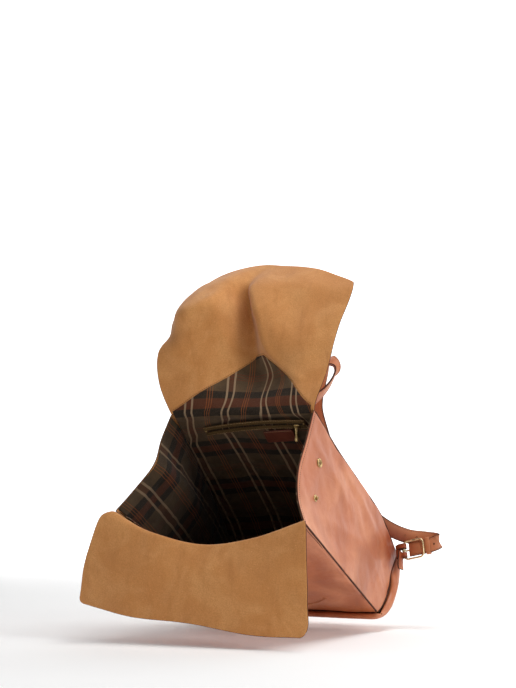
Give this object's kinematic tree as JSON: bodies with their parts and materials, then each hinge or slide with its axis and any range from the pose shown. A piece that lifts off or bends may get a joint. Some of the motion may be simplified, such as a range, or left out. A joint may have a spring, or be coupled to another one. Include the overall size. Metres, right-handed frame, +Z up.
{
  "type": "leather backpack",
  "caption": "Soft leather backpack lying open on its base edge, with a rear flap, a front flap, plaid lining, snap gussets and buckled shoulder straps.",
  "frame": {"origin": "centre of the footprint, on the plane the bag lies on", "axes": "+Z up, -Y out of the open mouth towards the viewer, +X to the right of someone who looks into the mouth"},
  "size_m": [0.427, 0.3971, 0.5257],
  "materials": {
    "body_leather": "smooth waxed leather with a soft sheen, pinkish tan",
    "suede": "matt suede, the flesh side of the leather, golden tan with darker brushed patches",
    "lining_cloth": "woven brown and olive plaid cotton with rust and cream lines",
    "zip_tape": "woven olive brown zip tape and coil",
    "label_leather": "dark red-brown leather, blank",
    "base_board": "grey-brown pressed fibre board inside the base",
    "antique_brass": "antique brass, brushed and slightly worn",
    "strap_leather": "orange-tan strap leather with dark brown cut edges"
  },
  "bodies": {
    "shell": {"front_panel": "body_leather", "back_panel": "body_leather", "left_gusset": "body_leather", "right_gusset": "body_leather", "base_panel": "body_leather", "front_pocket_welt": "body_leather", "lining_front": "lining_cloth", "lining_back": "lining_cloth", "lining_left": "lining_cloth", "lining_right": "lining_cloth", "lining_base": "lining_cloth", "pocket_bag": "lining_cloth", "zip_tape_upper": "zip_tape", "zip_tape_lower": "zip_tape", "zip_coil": "zip_tape", "leather_label": "label_leather", "base_stiffener": "base_board", "zip_stop_left": "antique_brass", "zip_stop_right": "antique_brass", "left_snap_socket": "antique_brass", "left_snap_socket_cap": "antique_brass", "left_snap_stud": "antique_brass", "left_snap_stud_cap": "antique_brass", "right_snap_socket": "antique_brass", "right_snap_socket_cap": "antique_brass", "right_snap_stud": "antique_brass", "right_snap_stud_cap": "antique_brass", "strap_yoke": "strap_leather"},
    "main_flap": {"main_flap": "suede", "lining_peak": "lining_cloth"},
    "front_flap": {"front_flap": "suede"},
    "carry_loop": {"carry_loop": "strap_leather"},
    "left_strap": {"left_shoulder_strap": "strap_leather", "left_buckle_frame": "antique_brass", "left_strap_keeper": "strap_leather", "left_strap_tab": "strap_leather"},
    "right_strap": {"right_shoulder_strap": "strap_leather", "right_buckle_frame": "antique_brass", "right_strap_keeper": "strap_leather", "right_strap_tab": "strap_leather"},
    "left_prong": {"left_buckle_prong": "antique_brass"},
    "right_prong": {"right_buckle_prong": "antique_brass"},
    "zip_slider": {"zip_slider": "antique_brass"},
    "zip_pull": {"zip_pull": "antique_brass"}
  },
  "joints": [
    {"name": "main_flap_fold", "type": "hinge", "parent": "shell", "child": "main_flap", "pos_m": [0.0025, -0.0725, 0.301], "axis": [0.9982, 0.0593, 0.0091], "range_deg": [-12, 110]},
    {"name": "front_flap_fold", "type": "hinge", "parent": "shell", "child": "front_flap", "pos_m": [-0.003, -0.174, 0.1525], "axis": [-0.9918, -0.1213, 0.0392], "range_deg": [0, 90]},
    {"name": "carry_loop_tilt", "type": "hinge", "parent": "shell", "child": "carry_loop", "pos_m": [0.0021, -0.0258, 0.2844], "axis": [1, 0, 0], "range_deg": [-16, 30]},
    {"name": "left_strap_swing", "type": "hinge", "parent": "shell", "child": "left_strap", "pos_m": [-0.037, -0.021, 0.287], "axis": [0.3694, -0.6731, 0.6406], "range_deg": [-5, 5]},
    {"name": "right_strap_swing", "type": "hinge", "parent": "shell", "child": "right_strap", "pos_m": [0.037, -0.021, 0.287], "axis": [0.3694, 0.6731, -0.6406], "range_deg": [-5, 5]},
    {"name": "left_prong_pivot", "type": "hinge", "parent": "left_strap", "child": "left_prong", "pos_m": [-0.15554, 0.1776, 0.09798], "axis": [0.198, 0.3061, 0.9312], "range_deg": [0, 72]},
    {"name": "right_prong_pivot", "type": "hinge", "parent": "right_strap", "child": "right_prong", "pos_m": [0.15554, 0.1776, 0.09798], "axis": [0.198, -0.3061, -0.9312], "range_deg": [0, 72]},
    {"name": "zip_slide", "type": "slide", "parent": "shell", "child": "zip_slider", "axis": [0.9986, -0.0263, 0.046], "range_m": [-0.132, 0.003]},
    {"name": "zip_pull_swing", "type": "hinge", "parent": "zip_slider", "child": "zip_pull", "pos_m": [0.083, -0.0634, 0.2768], "axis": [0.9986, -0.0263, 0.046], "range_deg": [-50, 35]}
  ]
}
